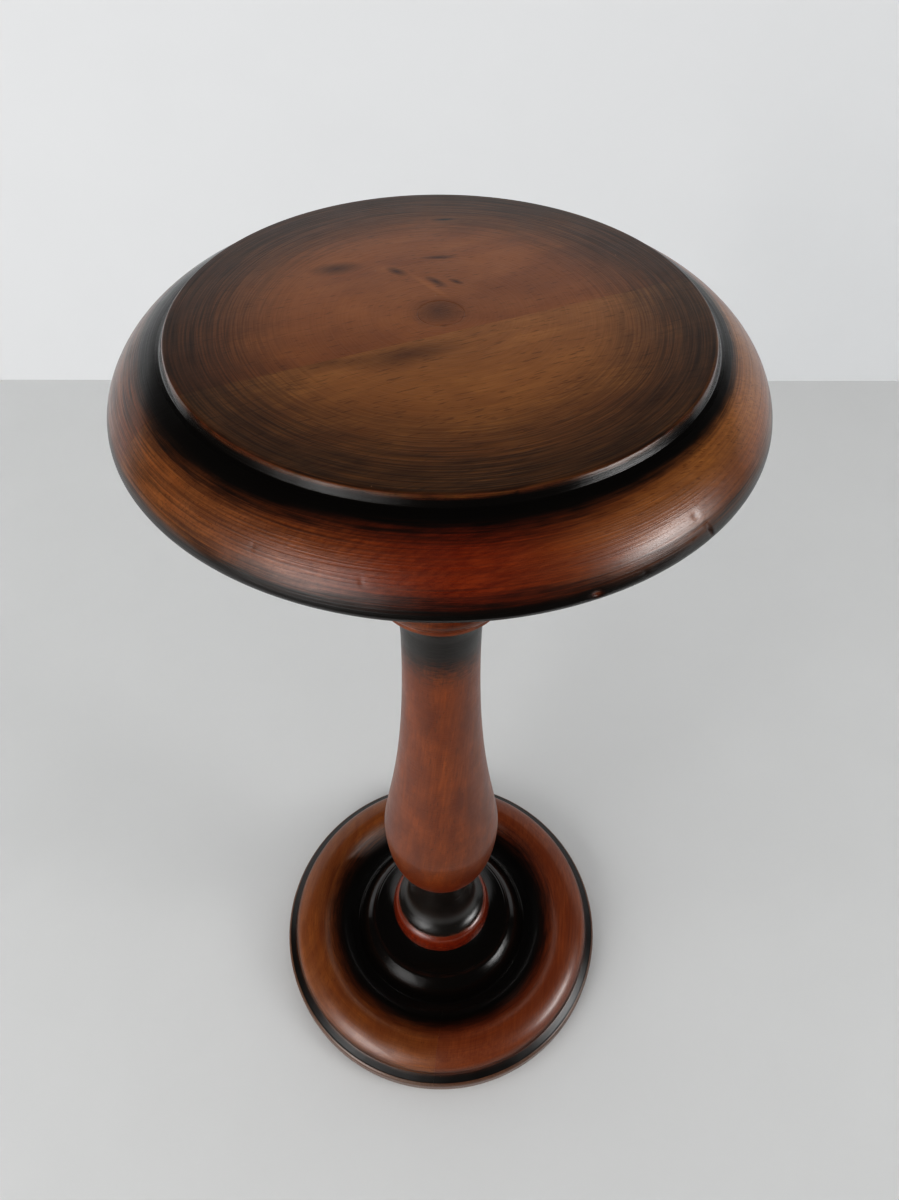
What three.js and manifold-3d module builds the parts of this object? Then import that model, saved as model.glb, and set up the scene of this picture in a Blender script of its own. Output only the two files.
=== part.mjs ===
// A turned wooden pedestal stand: round moulded top, baluster column, dished round base.
// Millimetres, +Z up, origin on the floor under the column's axis.
import * as THREE from "three";
import { mergeVertices } from "three/addons/utils/BufferGeometryUtils.js";
import Module from "manifold-3d";

const wasm = await Module();
wasm.setup();

// driving dimensions
const standHeight = 600;
const topThickness = 34;
const topRadius = 130.7;
const discRadius = 104.5;        // the raised flat in the middle of the top
const baseRadius = 133.6;
const hubHeight = 40;            // floor to the seat that the column stands on
const seatRadius = 38.6;
const padThickness = 2;
const vaseRadius = 41.2;
const waistRadius = 22.2;
const tenonRadius = 15;
const gap = 0.3;                 // between pieces that touch

// how round pieces are divided
const wideSegments = 40;
const columnSegments = 24;
const smallSegments = 12;

// glue joints: direction of the joint in degrees from +X, and its distance from the axis
const topSeam = { angle: 23.2, offset: -13.7 };
const baseSeam = { angle: 82, offset: -12 };

// colours and finish of the materials
const finishes = {
  stainedWood: { color: 0x6b3a22, roughness: 0.35, metalness: 0 },
  redWood: { color: 0x74351c, roughness: 0.35, metalness: 0 },
  darkWood: { color: 0x2a1610, roughness: 0.35, metalness: 0 },
  paleWood: { color: 0xc49a68, roughness: 0.75, metalness: 0 },
  zincSteel: { color: 0x9a9c9e, roughness: 0.35, metalness: 1 },
  felt: { color: 0x3b3a38, roughness: 1, metalness: 0 },
};

// levels worked out from the driving dimensions
const undersideZ = standHeight - topThickness;
const topCentreZ = undersideZ + topThickness / 2;
const cleat = { radius: 62, thickness: 16, faceRadius: 53, screwCircle: 50 };
cleat.bottomZ = undersideZ - cleat.thickness;
const baseBottomZ = padThickness;
const reliefZ = baseBottomZ + 3;      // the base is hollowed a little, so it stands on its outer ring
const reliefRadius = 96;

// top screw: its counterbore under the plug, its clearance hole and the mortise under it
const topBore = {
  plugRadius: 9,
  plugThickness: 7.6,
  counterboreDepth: 12,
  mortiseDepth: 10.6,
  screwLength: 68,
  screwRadius: 3,
  headRadius: 6.5,
  headHeight: 3.6,
};
topBore.floorZ = standHeight - topBore.counterboreDepth;
topBore.mortiseZ = undersideZ + topBore.mortiseDepth;

// base bolt: a coach screw with a wide washer in a counterbore
const baseBore = {
  ceilingZ: 14,
  radius: 19,
  washerRadius: 17,
  washerThickness: 1.6,
  boltRadius: 4,
  headAcrossFlats: 13,
  headHeight: 5.3,
  boltLength: 60,
};
const columnBottomZ = baseBore.ceilingZ + 1;
const columnTopZ = topBore.mortiseZ - 0.6;

// outline helpers (a point is [radius, height])
// Superelliptic arc about (centre), from one angle to another in degrees, 0 = outwards, 90 = up.
function arc(centre, radii, fromDegrees, toDegrees, steps, power = 2) {
  const points = [];
  for (let i = 0; i <= steps; i++) {
    const angle = THREE.MathUtils.degToRad(fromDegrees + ((toDegrees - fromDegrees) * i) / steps);
    const across = Math.sign(Math.cos(angle)) * Math.abs(Math.cos(angle)) ** (2 / power);
    const up = Math.sign(Math.sin(angle)) * Math.abs(Math.sin(angle)) ** (2 / power);
    points.push([centre[0] + radii[0] * across, centre[1] + radii[1] * up]);
  }
  return points;
}

// Cubic curve between two points with two handles.
function sweep(start, startHandle, endHandle, end, steps) {
  const vectors = [start, startHandle, endHandle, end].map((p) => new THREE.Vector2(p[0], p[1]));
  const curve = new THREE.CubicBezierCurve(...vectors);
  return curve.getPoints(steps).map((p) => [p.x, p.y]);
}

// solid helpers
function toManifold(geometry) {
  const bare = geometry.clone();
  for (const name of Object.keys(bare.attributes)) {
    if (name !== "position") bare.deleteAttribute(name);
  }
  const merged = mergeVertices(bare, 1e-4);
  const index = merged.index.array;
  const triangles = [];
  for (let i = 0; i < index.length; i += 3) {
    const [a, b, c] = [index[i], index[i + 1], index[i + 2]];
    if (a !== b && b !== c && c !== a) triangles.push(a, b, c);
  }
  const mesh = new wasm.Mesh({
    numProp: 3,
    vertProperties: new Float32Array(merged.attributes.position.array),
    triVerts: new Uint32Array(triangles),
  });
  return new wasm.Manifold(mesh);
}

function toGeometry(manifold) {
  const mesh = manifold.getMesh();
  const geometry = new THREE.BufferGeometry();
  geometry.setAttribute("position", new THREE.BufferAttribute(new Float32Array(mesh.vertProperties), 3));
  geometry.setIndex(new THREE.BufferAttribute(new Uint32Array(mesh.triVerts), 1));
  geometry.computeVertexNormals();
  return geometry;
}

// Turns an outline about +Z. The outline runs upwards on the outside, and starts and ends
// on the axis or, for a ring, closes on itself.
function turned(outline, segments) {
  const first = outline[0];
  const last = outline[outline.length - 1];
  const closes = first[0] === 0 && last[0] === 0;
  const points = (closes ? outline : [...outline, first]).map((p) => new THREE.Vector2(p[0], p[1]));
  const geometry = new THREE.LatheGeometry(points, segments);
  geometry.rotateX(Math.PI / 2);
  return toManifold(geometry);
}

// A cylinder along a horizontal direction (degrees from +X) about a centre point.
function dowelBar(radius, length, centre, degrees) {
  const geometry = new THREE.CylinderGeometry(radius, radius, length, smallSegments);
  geometry.rotateZ(Math.PI / 2);
  geometry.rotateZ(THREE.MathUtils.degToRad(degrees));
  geometry.translate(centre[0], centre[1], centre[2]);
  return toManifold(geometry);
}

// A large block on one side of a glue joint: side +1 is to the left of its direction.
function sideOfSeam(seam, side) {
  const size = 4 * baseRadius;
  const geometry = new THREE.BoxGeometry(size, size, 4 * standHeight);
  geometry.translate(0, seam.offset + (side * (size + gap)) / 2, 0);
  geometry.rotateZ(THREE.MathUtils.degToRad(seam.angle));
  return toManifold(geometry);
}

// A point given along a glue joint from its middle, as [x, y].
function alongSeam(seam, distance) {
  const angle = THREE.MathUtils.degToRad(seam.angle);
  const x = distance * Math.cos(angle) - seam.offset * Math.sin(angle);
  const y = distance * Math.sin(angle) + seam.offset * Math.cos(angle);
  return [x, y];
}

const group = new THREE.Group();

function addPiece(name, manifold, finish) {
  const material = new THREE.MeshStandardMaterial({ name: `${name}_material`, ...finish });
  const mesh = new THREE.Mesh(toGeometry(manifold), material);
  mesh.name = name;
  group.add(mesh);
  return mesh;
}

// fasteners
// A wood screw along +Z with its point up; the head's flat face is at height 0.
function countersunkScrew(headRadius, shankRadius, length) {
  const coneDepth = headRadius - shankRadius;
  const pointLength = 2.5 * shankRadius;
  return turned([
    [0, 0],
    [headRadius, 0],
    [headRadius, 0.5],
    [shankRadius, 0.5 + coneDepth],
    [shankRadius, length - pointLength],
    [0.25 * shankRadius, length],
    [0, length],
  ], smallSegments);
}

function ringCircle(radius, count, startDegrees) {
  const places = [];
  for (let i = 0; i < count; i++) {
    const angle = THREE.MathUtils.degToRad(startDegrees + (360 * i) / count);
    places.push([radius * Math.cos(angle), radius * Math.sin(angle)]);
  }
  return places;
}

// top: two boards glued edge to edge, a plug, dowels and the screw under the plug
const cleatScrew = { headRadius: 4.4, shankRadius: 2.2, length: 34 };
const cleatScrewPlaces = ringCircle(cleat.screwCircle, 4, topSeam.angle + 45);
const topDowel = { radius: 5, length: 50, spread: 62, z: topCentreZ };
const baseDowel = { radius: 4, length: 44, spread: 100, z: 11 };

function topOutline() {
  const stepFoot = [discRadius + 1.6, standHeight - 3.9];
  const widestZ = undersideZ + 6.5;
  const rollRadius = 12.6;
  const arris = 1;
  const rim = arc([stepFoot[0], widestZ], [topRadius - stepFoot[0], stepFoot[1] - widestZ], 0, 90, 8, 1.57);
  return [
    [tenonRadius + gap, undersideZ],
    ...arc([topRadius - rollRadius, widestZ], [rollRadius, widestZ - undersideZ], -90, -15, 3),
    ...rim,
    ...arc([discRadius - arris, standHeight - arris], [arris, arris], 0, 90, 2),
    [topBore.plugRadius + gap, standHeight],
    [topBore.plugRadius + gap, topBore.floorZ],
    [topBore.screwRadius + gap, topBore.floorZ],
    [topBore.screwRadius + gap, topBore.mortiseZ],
    [tenonRadius + gap, topBore.mortiseZ],
  ];
}

function drillDowels(blank, seam, dowel) {
  let result = blank;
  for (const side of [-1, 1]) {
    const [x, y] = alongSeam(seam, side * dowel.spread);
    const hole = dowelBar(dowel.radius + gap, dowel.length + 2 * gap, [x, y, dowel.z], seam.angle + 90);
    result = result.subtract(hole);
  }
  return result;
}

function addDowels(prefix, seam, dowel) {
  [-1, 1].forEach((side, i) => {
    const [x, y] = alongSeam(seam, side * dowel.spread);
    const bar = dowelBar(dowel.radius, dowel.length, [x, y, dowel.z], seam.angle + 90);
    addPiece(`${prefix}_${i + 1}`, bar, finishes.paleWood);
  });
}

let topBlank = drillDowels(turned(topOutline(), wideSegments), topSeam, topDowel);
for (const [x, y] of cleatScrewPlaces) {
  const depth = cleatScrew.length - cleat.thickness + 2;
  const pilot = turned([
    [0, -1],
    [cleatScrew.shankRadius + gap, -1],
    [cleatScrew.shankRadius + gap, depth],
    [0, depth],
  ], smallSegments);
  topBlank = topBlank.subtract(pilot.translate([x, y, undersideZ]));
}
addPiece("top_board_back", topBlank.intersect(sideOfSeam(topSeam, 1)), finishes.stainedWood);
addPiece("top_board_front", topBlank.intersect(sideOfSeam(topSeam, -1)), finishes.stainedWood);
addDowels("top_dowel", topSeam, topDowel);

addPiece("top_plug", turned([
  [0, standHeight - topBore.plugThickness],
  [topBore.plugRadius - 0.6, standHeight - topBore.plugThickness],
  [topBore.plugRadius, standHeight - topBore.plugThickness + 0.6],
  [topBore.plugRadius, standHeight],
  [0, standHeight],
], wideSegments / 2), finishes.darkWood);

const topHeadZ = topBore.floorZ + gap;
addPiece("top_screw", turned([
  [0, topHeadZ - topBore.screwLength],
  [0.8, topHeadZ - topBore.screwLength],
  [topBore.screwRadius, topHeadZ - topBore.screwLength + 8],
  [topBore.screwRadius, topHeadZ],
  [topBore.headRadius, topHeadZ],
  [topBore.headRadius, topHeadZ + 0.6 * topBore.headHeight],
  [topBore.headRadius - 1.2, topHeadZ + topBore.headHeight],
  [0, topHeadZ + topBore.headHeight],
], smallSegments), finishes.zincSteel);

// cleat: the round plate between the top and the column, with four screws
function cleatOutline() {
  const lip = 5;
  const lipZ = undersideZ - gap - lip;
  return [
    [tenonRadius + gap, cleat.bottomZ],
    ...arc([cleat.faceRadius, lipZ], [cleat.radius - 2 - cleat.faceRadius, lipZ - cleat.bottomZ], -90, 0, 4),
    [cleat.radius, lipZ],
    [cleat.radius, undersideZ - gap],
    [tenonRadius + gap, undersideZ - gap],
  ];
}

let cleatSolid = turned(cleatOutline(), wideSegments);
cleatScrewPlaces.forEach(([x, y], i) => {
  const clearance = countersunkScrew(
    cleatScrew.headRadius + gap, cleatScrew.shankRadius + gap, cleatScrew.length + 10);
  cleatSolid = cleatSolid.subtract(clearance.translate([x, y, cleat.bottomZ - 0.01]));
  const screw = countersunkScrew(cleatScrew.headRadius, cleatScrew.shankRadius, cleatScrew.length);
  addPiece(`cleat_screw_${i + 1}`, screw.translate([x, y, cleat.bottomZ + 0.1]), finishes.zincSteel);
});
addPiece("top_cleat", cleatSolid, finishes.darkWood);

// column: one turning with a tenon at each end
function columnOutline() {
  const seatZ = hubHeight + gap;
  const capZ = cleat.bottomZ - gap;
  const boltHole = baseBore.boltRadius + gap;
  const screwHole = topBore.screwRadius + gap;
  const boltHoleEnd = baseBore.ceilingZ + baseBore.boltLength + 2;
  const screwHoleEnd = topHeadZ - topBore.screwLength - 2;
  const lowerBeadZ = 46.3;
  const lowerLipZ = 62.4;
  const vaseZ = 195;
  const vaseFootZ = 132;
  const waistZ = 410;
  const collarLipZ = 447;
  const collarBeadZ = 457;
  return [
    [0, boltHoleEnd],
    [boltHole, boltHoleEnd],
    [boltHole, columnBottomZ],
    [tenonRadius - 1, columnBottomZ],
    [tenonRadius, columnBottomZ + 1],
    [tenonRadius, seatZ],
    [36.6, seatZ],
    // red bead and the black cove above it
    ...arc([34.7, lowerBeadZ], [6, 5.8], -68, 0, 3),
    ...arc([34.7, lowerBeadZ], [6, 16], 16, 80, 4),
    [35.5, lowerLipZ + 0.5],
    ...sweep([34.4, lowerLipZ + 0.9], [26, 67.5], [20.6, 83], [20.6, 112], 6),
    // long vase: rounded foot, belly, then a long draw up to the waist
    ...arc([20.6, vaseZ], [vaseRadius - 20.6, vaseZ - vaseFootZ], -82, -10, 7, 2.15),
    ...sweep([vaseRadius, vaseZ], [vaseRadius, vaseZ + 23], [waistRadius, waistZ - 132],
      [waistRadius, waistZ], 11),
    // flare up to the collar, fillet and bead
    ...sweep([22.6, waistZ + 16], [23.3, 434], [24.4, 441], [33.2, collarLipZ - 0.6], 5),
    [34.5, collarLipZ],
    [34.5, collarLipZ + 3],
    ...arc([33.4, collarBeadZ], [4.2, 6.8], -80, 80, 6),
    // neck and the bell-shaped cap under the cleat
    [30.5, 465],
    [30.5, 467],
    ...sweep([27.5, 468], [25.2, 471], [24.6, 476], [24.6, 484], 3),
    ...sweep([24.6, 496], [25.6, 520], [32, 532], [39, 537.5], 5),
    [41, 538.5],
    ...arc([40.2, 544.4], [2.6, 5.3], -60, 90, 5),
    [tenonRadius, capZ],
    [tenonRadius, columnTopZ - 1],
    [tenonRadius - 1, columnTopZ],
    [screwHole, columnTopZ],
    [screwHole, screwHoleEnd],
    [0, screwHoleEnd],
  ];
}
addPiece("column", turned(columnOutline(), columnSegments), finishes.stainedWood);

// base: two boards glued edge to edge, dowels, bolt, washer and felt pads
function baseOutline() {
  const crest = { radius: 108, z: 31.5, outerRadius: 126 };
  const bandZ = 17.7;
  const sideTopZ = 12;
  const valley = { radius: 79, z: 14.5 };
  const shoulder = { radius: 41, z: 7.8, size: 32 };
  return [
    [tenonRadius + gap, baseBore.ceilingZ],
    [baseBore.radius, baseBore.ceilingZ],
    [baseBore.radius, reliefZ],
    [reliefRadius - 1, reliefZ],
    [reliefRadius + 2, baseBottomZ],
    [baseRadius - 1.6, baseBottomZ],
    [baseRadius, baseBottomZ + 1.6],
    [baseRadius, sideTopZ],
    [baseRadius - 1.2, sideTopZ + 1.3],
    [crest.outerRadius + 0.4, bandZ - 1],
    ...arc([crest.radius, bandZ], [crest.outerRadius - crest.radius, crest.z - bandZ], 0, 90, 5),
    ...sweep([crest.radius, crest.z], [94, crest.z], [90, valley.z], [valley.radius, valley.z], 8).slice(1),
    // rounded shoulder, a low ring on top of it, and the rise to the seat
    [72.6, valley.z + 0.3],
    ...arc([shoulder.radius, shoulder.z], [shoulder.size, shoulder.size], 15, 53, 5),
    [57.4, 34.6],
    [56.4, 35.1],
    [55, 35.2],
    ...sweep([52, 35.5], [48, 36], [43, 37.5], [seatRadius, hubHeight], 3),
    [tenonRadius + gap, hubHeight],
  ];
}

const baseBlank = drillDowels(turned(baseOutline(), wideSegments), baseSeam, baseDowel);
addPiece("base_board_left", baseBlank.intersect(sideOfSeam(baseSeam, 1)), finishes.stainedWood);
addPiece("base_board_right", baseBlank.intersect(sideOfSeam(baseSeam, -1)), finishes.redWood);
addDowels("base_dowel", baseSeam, baseDowel);

const washerTopZ = baseBore.ceilingZ - gap;
const washerBottomZ = washerTopZ - baseBore.washerThickness;
addPiece("base_washer", turned([
  [baseBore.boltRadius + gap, washerBottomZ],
  [baseBore.washerRadius, washerBottomZ],
  [baseBore.washerRadius, washerTopZ],
  [baseBore.boltRadius + gap, washerTopZ],
], wideSegments / 2), finishes.zincSteel);

const headTopZ = washerBottomZ - gap;
const hexRadius = baseBore.headAcrossFlats / Math.sqrt(3);
const hexHead = new THREE.CylinderGeometry(hexRadius, hexRadius, baseBore.headHeight, 6);
hexHead.rotateX(Math.PI / 2);
hexHead.translate(0, 0, headTopZ - baseBore.headHeight / 2);
const boltShank = turned([
  [0, headTopZ - 1],
  [baseBore.boltRadius, headTopZ - 1],
  [baseBore.boltRadius, headTopZ + baseBore.boltLength - 7],
  [1, headTopZ + baseBore.boltLength],
  [0, headTopZ + baseBore.boltLength],
], smallSegments);
addPiece("base_bolt", toManifold(hexHead).add(boltShank), finishes.zincSteel);

const padRadius = 11;
const padCircle = 115;
ringCircle(padCircle, 4, 45).forEach(([x, y], i) => {
  const pad = turned([
    [0, 0],
    [padRadius, 0],
    [padRadius, padThickness - gap],
    [0, padThickness - gap],
  ], smallSegments);
  addPiece(`felt_pad_${i + 1}`, pad.translate([x, y, 0]), finishes.felt);
});

export default group;
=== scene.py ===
from math import cos, pi, radians, sin, tan

import bmesh
import bpy
import numpy as np
from mathutils import Matrix, Vector


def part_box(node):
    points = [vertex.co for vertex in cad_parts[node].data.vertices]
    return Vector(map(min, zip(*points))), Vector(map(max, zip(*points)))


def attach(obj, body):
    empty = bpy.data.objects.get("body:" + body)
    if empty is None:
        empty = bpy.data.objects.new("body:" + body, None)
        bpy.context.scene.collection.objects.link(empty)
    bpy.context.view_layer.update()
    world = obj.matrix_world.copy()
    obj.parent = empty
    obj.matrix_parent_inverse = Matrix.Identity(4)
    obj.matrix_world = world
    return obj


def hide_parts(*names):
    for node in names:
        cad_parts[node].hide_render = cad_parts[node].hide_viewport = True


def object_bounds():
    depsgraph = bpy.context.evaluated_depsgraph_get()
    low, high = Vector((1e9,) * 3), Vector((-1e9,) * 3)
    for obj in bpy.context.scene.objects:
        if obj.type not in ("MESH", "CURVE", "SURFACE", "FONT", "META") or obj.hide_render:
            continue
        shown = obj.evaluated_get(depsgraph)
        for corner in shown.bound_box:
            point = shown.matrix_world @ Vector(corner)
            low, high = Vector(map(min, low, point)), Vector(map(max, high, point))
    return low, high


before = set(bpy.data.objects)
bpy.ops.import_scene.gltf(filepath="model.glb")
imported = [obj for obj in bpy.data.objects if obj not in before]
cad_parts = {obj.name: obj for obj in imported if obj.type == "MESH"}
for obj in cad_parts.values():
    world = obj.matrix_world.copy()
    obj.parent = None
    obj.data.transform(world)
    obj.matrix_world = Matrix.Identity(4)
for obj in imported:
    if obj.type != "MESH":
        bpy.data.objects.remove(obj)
cadLow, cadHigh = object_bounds()
mm = 0.001  # outlines are drawn in millimetres, meshes are in metres
print("frame loaded:", len(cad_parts), "CAD nodes")

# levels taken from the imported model, in millimetres
standHeight = cadHigh.z / mm
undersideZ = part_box("top_board_back")[0].z / mm
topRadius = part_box("top_board_back")[1].y / mm
baseRadius = -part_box("base_board_left")[0].x / mm
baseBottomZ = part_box("base_board_left")[0].z / mm
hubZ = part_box("base_board_left")[1].z / mm
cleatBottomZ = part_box("top_cleat")[0].z / mm
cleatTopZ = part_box("top_cleat")[1].z / mm
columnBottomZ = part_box("column")[0].z / mm
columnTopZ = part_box("column")[1].z / mm


# gaps between parts that fit together, in millimetres: round a dowel or a screw, beyond the ends of
# a dowel, where a part sits on another, and round a sunk screw head
slack = {"hole": 0.15, "ends": 0.6, "seat": 0.3, "sink": 0.2}


# outlines: a point is (radius, height), stretches are joined end to end

def arcLine(centre, radii, fromDegrees, toDegrees, count=24, power=2.0):
    # superellipse: centre + radii * (cos, sin) ** (2 / power), 0 degrees = outwards, 90 = up
    angle = np.radians(np.linspace(fromDegrees, toDegrees, count))
    across = np.sign(np.cos(angle)) * np.abs(np.cos(angle)) ** (2 / power)
    up = np.sign(np.sin(angle)) * np.abs(np.sin(angle)) ** (2 / power)
    return np.stack([centre[0] + radii[0] * across, centre[1] + radii[1] * up], 1)


def sweepLine(start, startHandle, endHandle, end, count=24):
    # cubic curve: the two ends and two handles weighted by (1-t)^3, 3t(1-t)^2, 3t^2(1-t), t^3
    t = np.linspace(0, 1, count)[:, None]
    weights = [(1 - t) ** 3, 3 * t * (1 - t) ** 2, 3 * t ** 2 * (1 - t), t ** 3]
    corners = [start, startHandle, endHandle, end]
    return sum(w * np.array(c, float) for w, c in zip(weights, corners))


def outline(*stretches):
    return np.concatenate([np.atleast_2d(np.array(s, float)) for s in stretches])


def softened(points, edge=0.35, longest=1.6, turn=7.0, closed=True):
    # spaces the outline evenly, rounds its corners by a moving average as wide as the edge, then
    # keeps a point wherever the line has turned enough or gone far enough since the last one
    ring = np.vstack([points, points[:1]]) if closed else points
    steps = np.hypot(*np.diff(ring, axis=0).T)
    run = np.concatenate([[0], np.cumsum(steps)])
    count = int(run[-1] / (edge / 4))
    even = np.linspace(0, run[-1], count, endpoint=not closed)
    line = np.stack([np.interp(even, run, ring[:, k]) for k in (0, 1)], 1)
    kernel = np.hanning(11)[1:-1]
    kernel /= kernel.sum()
    half = len(kernel) // 2
    if closed:
        padded = np.vstack([line[-half:], line, line[:half]])
    else:
        padded = np.vstack([2 * line[0] - line[half:0:-1], line, 2 * line[-1] - line[-2:-half - 2:-1]])
    line = np.stack([np.convolve(padded[:, k], kernel, "valid") for k in (0, 1)], 1)
    heading = np.unwrap(np.arctan2(*np.gradient(line, axis=0).T[::-1]))
    bends = np.concatenate([[0], np.cumsum(np.abs(np.diff(heading)))])
    travelled = np.concatenate([[0], np.cumsum(np.hypot(*np.diff(line, axis=0).T))])
    spent = bends / radians(turn) + travelled / longest
    wanted = np.arange(0, spent[-1], 1.0)
    keep = np.unique(np.searchsorted(spent, wanted).clip(0, len(line) - 1))
    if not closed:
        keep = np.unique(np.concatenate([keep, [len(line) - 1]]))
    return line[keep]


def addObject(name, data):
    thing = bpy.data.objects.new(name, data)
    bpy.context.scene.collection.objects.link(thing)
    return thing


def smoothStep(low, high, value):
    t = np.clip((value - low) / (high - low), 0, 1)
    return t * t * (3 - 2 * t)


# turned surfaces

def evenAngles(count):
    return np.linspace(0, 2 * np.pi, count, endpoint=False)


def roundPoints(radius, height, angles):
    # a radius r, a height z and an angle a give the point (r cos a, r sin a, z)
    return np.stack([radius * np.cos(angles), radius * np.sin(angles), height + 0 * angles], 2)


def turnedPoints(line, angles):
    return roundPoints(line[:, :1], line[:, 1:], angles)


def gridMesh(name, points, closedLine=False, **attributes):
    # points[i, j]: i along the outline, j round the axis; the grid closes round the axis
    rows, columns = points.shape[:2]
    index = np.arange(rows * columns).reshape(rows, columns)
    below = index if closedLine else index[:-1]
    above = np.roll(index, -1, 0) if closedLine else index[1:]
    faces = np.stack([below, np.roll(below, -1, 1), np.roll(above, -1, 1), above], 2).reshape(-1, 4)
    mesh = bpy.data.meshes.new(name)
    mesh.vertices.add(rows * columns)
    mesh.vertices.foreach_set("co", (points * mm).astype(np.float32).ravel())
    mesh.loops.add(faces.size)
    mesh.loops.foreach_set("vertex_index", faces.astype(np.int32).ravel())
    mesh.polygons.add(len(faces))
    mesh.polygons.foreach_set("loop_start", np.arange(0, faces.size, 4, dtype=np.int32))
    mesh.update(calc_edges=True)
    for key, values in attributes.items():
        layer = mesh.attributes.new(key, "FLOAT", "POINT")
        spread = np.broadcast_to(values, (rows, columns)).astype(np.float32)
        layer.data.foreach_set("value", spread.ravel())
    closeUp(mesh)
    return mesh


def runOf(line):
    return np.concatenate([[0], np.cumsum(np.hypot(*np.diff(line, axis=0).T))])[:, None]


def closeUp(mesh):
    # merges the seam and the poles, drops faces without area, and turns every face outwards
    work = bmesh.new()
    work.from_mesh(mesh)
    bmesh.ops.remove_doubles(work, verts=work.verts, dist=1e-7)
    bmesh.ops.dissolve_degenerate(work, edges=work.edges, dist=1e-8)
    bmesh.ops.recalc_face_normals(work, faces=work.faces)
    work.to_mesh(mesh)
    work.free()


def cutAtSeam(mesh, seam, side):
    # keeps one side of the glue joint and closes the cut with flat faces
    angle = radians(seam["angle"])
    across = Vector((-sin(angle), cos(angle), 0))
    place = across * (seam["offset"] + side * seam["gap"] / 2) * mm
    work = bmesh.new()
    work.from_mesh(mesh)
    everything = work.verts[:] + work.edges[:] + work.faces[:]
    cut = bmesh.ops.bisect_plane(work, geom=everything, dist=1e-8, plane_co=place, plane_no=across * side,
                                 clear_inner=True)
    edges = [e for e in cut["geom_cut"] if isinstance(e, bmesh.types.BMEdge)]
    bmesh.ops.triangle_fill(work, use_beauty=True, use_dissolve=False, edges=edges,
                            normal=-across * side)
    bmesh.ops.recalc_face_normals(work, faces=work.faces)
    work.to_mesh(mesh)
    work.free()


def carved(mesh, cutters):
    # takes the cutters, all closed meshes, out of a closed mesh
    work = bmesh.new()
    for cutter in cutters:
        work.from_mesh(cutter)
    tool = bpy.data.meshes.new("cutter")
    work.to_mesh(tool)
    work.free()
    holders = [addObject("blank", mesh), addObject("cutter", tool)]
    cut = holders[0].modifiers.new("cut", "BOOLEAN")
    cut.operation = "DIFFERENCE"
    cut.object = holders[1]
    evaluated = holders[0].evaluated_get(bpy.context.evaluated_depsgraph_get())
    result = bpy.data.meshes.new_from_object(evaluated)
    for holder in holders:
        bpy.data.objects.remove(holder)
    return result


def finishPiece(name, mesh, material, slot, *nodes, sharpDegrees=35):
    piece = addObject(name, mesh)
    mesh.materials.append(material)
    mesh.shade_smooth()
    mesh.set_sharp_from_angle(angle=radians(sharpDegrees))
    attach(piece, "root")
    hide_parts(*nodes)


def finishWood(node, mesh, look, slot="stained_wood"):
    finishPiece(node + "_wood", mesh, stainedWood(node + "_stain", look), slot, node)


def finishSteel(node, mesh, **more):
    finishPiece(node + "_steel", mesh, zincSteel(node + "_zinc"), "zinc_steel", node, **more)


def makeBoards(blank, seam, looks):
    # one turned shape, cut along its glue joint into two boards
    for (name, look), side in zip(looks.items(), (1, -1)):
        mesh = blank.copy()
        cutAtSeam(mesh, seam, side)
        finishWood(name, mesh, look)
        print(name, "ready:", len(mesh.polygons), "faces")


def turnedMesh(name, line, angles, closedLine=True, **attributes):
    return gridMesh(name, turnedPoints(line, angles), closedLine, run=runOf(line) * mm, **attributes)


# node tools

def setInputs(tree, node, inputs):
    # a number is written into its input, the output of another node is linked to it
    for key, value in inputs.items():
        if isinstance(value, bpy.types.NodeSocket):
            tree.links.new(value, node.inputs[key])
        else:
            node.inputs[key].default_value = value


def addNode(tree, kind, inputs=None, **settings):
    node = tree.nodes.new("ShaderNode" + kind)
    for key, value in settings.items():
        setattr(node, key, value)
    setInputs(tree, node, inputs or {})
    return node


def calc(tree, operation, first, second=0.0, third=0.0, clamp=False):
    node = addNode(tree, "Math", {0: first, 1: second, 2: third}, operation=operation)
    node.use_clamp = clamp
    return node.outputs[0]


def times(tree, first, second):
    return calc(tree, "MULTIPLY", first, second)


def noise(tree, place, scale, detail=2.0, roughness=0.5, distortion=0.0):
    node = addNode(tree, "TexNoise", {"Vector": place, "Scale": scale, "Detail": detail,
                                      "Roughness": roughness, "Distortion": distortion})
    return node.outputs["Fac"]


def stretched(tree, place, scale, turn=(0.0, 0.0, 0.0), shift=(0.0, 0.0, 0.0)):
    node = addNode(tree, "Mapping", {"Vector": place, "Location": shift, "Rotation": turn, "Scale": scale})
    return node.outputs[0]


def between(tree, value, low, high, toLow=0.0, toHigh=1.0):
    node = addNode(tree, "MapRange", {"Value": value, "From Min": low, "From Max": high,
                                      "To Min": toLow, "To Max": toHigh}, interpolation_type="SMOOTHSTEP")
    return node.outputs[0]


def mix(tree, factor, first, second):
    node = addNode(tree, "Mix", {0: factor, 6: first, 7: second}, data_type="RGBA")
    return node.outputs[2]


def srgb(red, green, blue):
    # screen values 0 to 255 to the linear colour that a shader takes
    screen = np.array([red, green, blue]) / 255
    linear = np.where(screen <= 0.04045, screen / 12.92, ((screen + 0.055) / 1.055) ** 2.4)
    return (*linear.tolist(), 1.0)


def newGroup(name, numberInput):
    # every effect reads a place and one number
    group = bpy.data.node_groups.new(name, "ShaderNodeTree")
    for label, kind in (("Place", "NodeSocketVector"), (numberInput, "NodeSocketFloat")):
        group.interface.new_socket(label, in_out="INPUT", socket_type=kind)
    start = group.nodes.new("NodeGroupInput")
    return group, start.outputs["Place"], start.outputs[numberInput]


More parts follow.
